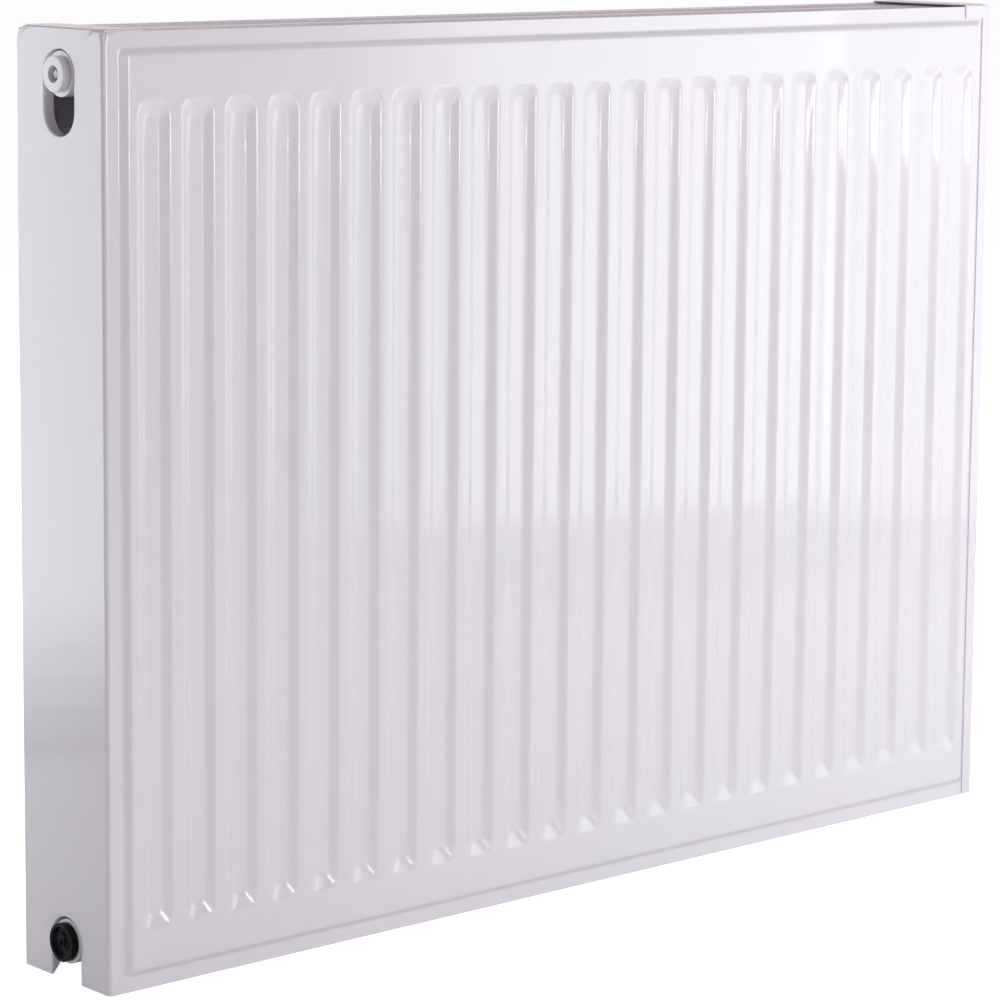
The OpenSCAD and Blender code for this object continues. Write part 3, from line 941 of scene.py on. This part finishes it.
def floor_material():
    """White floor that also glows a little to the camera, as an overexposed studio floor does."""
    surface = Surface("floor_white", (0.9, 0.9, 0.905), 0.6)
    surface.tint(surface.noise(0.6, 2), (0.895, 0.895, 0.9), (0.905, 0.905, 0.91))
    surface.roughen(surface.noise(0.2, 2), 0.55, 0.65)
    nodes, links = surface.nodes, surface.links
    glow = nodes.new("ShaderNodeEmission")
    glow.inputs["Strength"].default_value = 0.95
    ray = nodes.new("ShaderNodeLightPath")
    mix = nodes.new("ShaderNodeMixShader")
    both = nodes.new("ShaderNodeAddShader")
    links.new(surface.shader.outputs["BSDF"], both.inputs[0])
    links.new(glow.outputs["Emission"], both.inputs[1])
    links.new(ray.outputs["Is Camera Ray"], mix.inputs["Fac"])
    links.new(surface.shader.outputs["BSDF"], mix.inputs[1])
    links.new(both.outputs["Shader"], mix.inputs[2])
    links.new(mix.outputs["Shader"], nodes["Material Output"].inputs["Surface"])
    return surface.material


# ---------------------------------------------------------------- stage, light and camera

def set_floor():
    size = 60
    bm = bmesh.new()
    bmesh.ops.create_grid(bm, x_segments=8, y_segments=8, size=size / 2)
    mesh = bpy.data.meshes.new("floor")
    bm.to_mesh(mesh)
    bm.free()
    floor = bpy.data.objects.new("floor", mesh)
    floor.location.z = -0.0005
    bpy.context.scene.collection.objects.link(floor)
    mesh.materials.append(floor_material())


def set_world(strength):
    """Dim even light, with a white backdrop where the camera sees past the floor."""
    world = bpy.data.worlds.new("studio")
    world.use_nodes = True
    nodes, links = world.node_tree.nodes, world.node_tree.links
    dim = nodes["Background"]
    dim.inputs["Color"].default_value = (1, 1, 1, 1)
    dim.inputs["Strength"].default_value = strength
    backdrop = nodes.new("ShaderNodeBackground")
    backdrop.inputs["Color"].default_value = (1, 1, 1, 1)
    backdrop.inputs["Strength"].default_value = 1
    ray = nodes.new("ShaderNodeLightPath")
    mix = nodes.new("ShaderNodeMixShader")
    links.new(ray.outputs["Is Camera Ray"], mix.inputs["Fac"])
    links.new(dim.outputs["Background"], mix.inputs[1])
    links.new(backdrop.outputs["Background"], mix.inputs[2])
    links.new(mix.outputs["Shader"], nodes["World Output"].inputs["Surface"])
    bpy.context.scene.world = world


def add_card(name, place, aim, size, radiance, tint=(1, 1, 1)):
    """Rectangular area light of a given radiance, which the camera doesn't see."""
    data = bpy.data.lights.new(name, "AREA")
    data.shape = "RECTANGLE"
    data.size, data.size_y = size
    data.energy = radiance * math.pi * size[0] * size[1]
    data.color = tint
    card = bpy.data.objects.new(name, data)
    bpy.context.scene.collection.objects.link(card)
    card.location = place
    card.rotation_euler = (Vector(aim) - Vector(place)).to_track_quat("-Z", "Y").to_euler()
    card.visible_camera = False
    return card


COOL = (0.98, 1.02, 1.05)
PINK = (1.0, 0.975, 1.0)
MAUVE = (1.0, 0.87, 0.93)


def set_lights():
    add_card("right_card", (0.76, -0.79, 0.70), (0.54, 0.01, 0.70), (0.42, 1.25), 2.25, COOL)
    add_card("right_card_edge", (0.532, -0.852, 0.70), (0.312, -0.052, 0.70), (0.05, 1.25), 1.5, COOL)
    add_card("right_card_rim", (0.484, -0.865, 0.70), (0.264, -0.065, 0.70), (0.05, 1.25), 0.75, COOL)
    add_card("right_end_card", (1.15, -0.6, 0.70), (0.6, 0, 0.70), (0.5, 1.3), 1.1, COOL)
    add_card("left_card", (-0.75, 0.5, 0.60), (-0.4, 0, 0.60), (0.4, 0.98), 2.3, COOL)
    for i, share in enumerate((0.8, 0.6, 0.4, 0.2)):
        z = 0.0975 - 0.025 * i
        add_card(f"left_card_{i}", (-0.75, 0.5, z), (-0.4, 0, z), (0.4, 0.025), 2.3 * share, COOL)
    add_card("window", (-0.15, -2.0, 0.87), (-0.15, 0, 0.87), (0.6, 1.1), 8.4, PINK)
    add_card("window_low", (-0.02, -2.0, 0.2), (-0.02, 0, 0.2), (0.34, 0.22), 2.4, PINK)
    add_card("far_left_card", (-2.6, -1.6, 1.3), (-0.3, 0, 0.3), (2, 2), 1.2, PINK)
    add_card("rear_card", (1.7, 2.6, 0.8), (1.7, 0, 0.8), (4.2, 1.5), 0.75, MAUVE)
    add_card("back_card", (0.25, 2.2, 0.9), (0.25, 0, 0.3), (1.2, 1.2), 1.9)
    add_card("side_card", (1.55, -0.2, 0.70), (0.4, -0.05, 0.70), (0.7, 1.3), 0.7, COOL)
    add_card("end_card", (2.35, 0.65, 0.8), (0.4, 0.4, 0.3), (1.6, 1.5), 1.3)
    add_card("over_card", (0.0, 0.12, 1.8), (0.0, 0.12, 0), (1.2, 0.3), 4, MAUVE)


CAMERA_PLACE = (-1.6926, -1.8732, 0.7032)
CAMERA_YAW = 0.7239          # from +Y towards +X
CAMERA_PITCH = 0.1454        # downwards
CAMERA_ROLL = 0.0085


def set_camera():
    data = bpy.data.cameras.new("camera")
    data.lens = 132.96
    data.sensor_width = 36
    data.shift_y = -0.1
    data.clip_end = 100
    camera = bpy.data.objects.new("camera", data)
    bpy.context.scene.collection.objects.link(camera)
    turn = Matrix.Rotation(-CAMERA_YAW, 4, "Z") @ Matrix.Rotation(math.pi / 2 - CAMERA_PITCH, 4, "X")
    camera.matrix_world = (
        Matrix.Translation(CAMERA_PLACE) @ turn @ Matrix.Rotation(CAMERA_ROLL, 4, "Z")
    )
    bpy.context.scene.camera = camera


# ---------------------------------------------------------------- the radiator

def build():
    white = enamel("enamel_white", (0.805, 0.777, 0.807))
    cover_white = enamel("cover_enamel_white", (0.8, 0.757, 0.812))
    fin_white = enamel("fin_enamel_white", (0.78, 0.74, 0.785), 1.3)
    plug_white = enamel("plug_enamel_white", (0.82, 0.79, 0.83), 0.8)
    black = moulded_plastic("black_moulded_plastic")
    nickel = plated_brass("plated_brass")
    sealing = rubber("sealing_rubber")
    spring = spring_steel("zinc_spring_steel")

    face_sheet("front_panel_face", "front_outer_sheet", False, white)
    face_sheet("front_panel_back", "front_inner_sheet", True, white)
    face_sheet("rear_panel_back", "rear_inner_sheet", False, white)
    face_sheet("rear_panel_face", "rear_outer_sheet", True, white)
    wave_sheet("front_convector_sheet", "front_convector", False, fin_white)
    wave_sheet("rear_convector_sheet", "rear_convector", True, fin_white)
    side_cover("left_cover_shell", "left_side_cover", False, cover_white)
    side_cover("right_cover_shell", "right_side_cover", True, cover_white)
    top_grille("grille_plate", "top_grille", cover_white)
    grille_clips("grille_clip", "grille_clips", spring)
    for level in ("top", "bottom"):
        for end, outward in (("left", -1), ("right", 1)):
            tee(f"tee_boss_{level}_{end}", f"tee_{level}_{end}", outward, white)
            hanging_lug(f"lug_strap_{level}_{end}", f"lug_{level}_{end}", white)
    plug("vent_plug_body", "vent_plug", -1, 0, plug_white)
    plug("blanking_plug_body", "blanking_plug", 1, 6, plug_white)
    seal_ring("vent_seal_ring", "vent_plug_seal", -1, sealing)
    seal_ring("blanking_seal_ring", "blanking_plug_seal", 1, sealing)
    bleed_screw("bleed_screw_body", "bleed_screw", nickel)
    transit_plug("transit_plug_body", "transit_plug", black)


set_camera()
set_world(0.03)
set_lights()
set_floor()
build()
bpy.context.scene.view_settings.view_transform = "Standard"
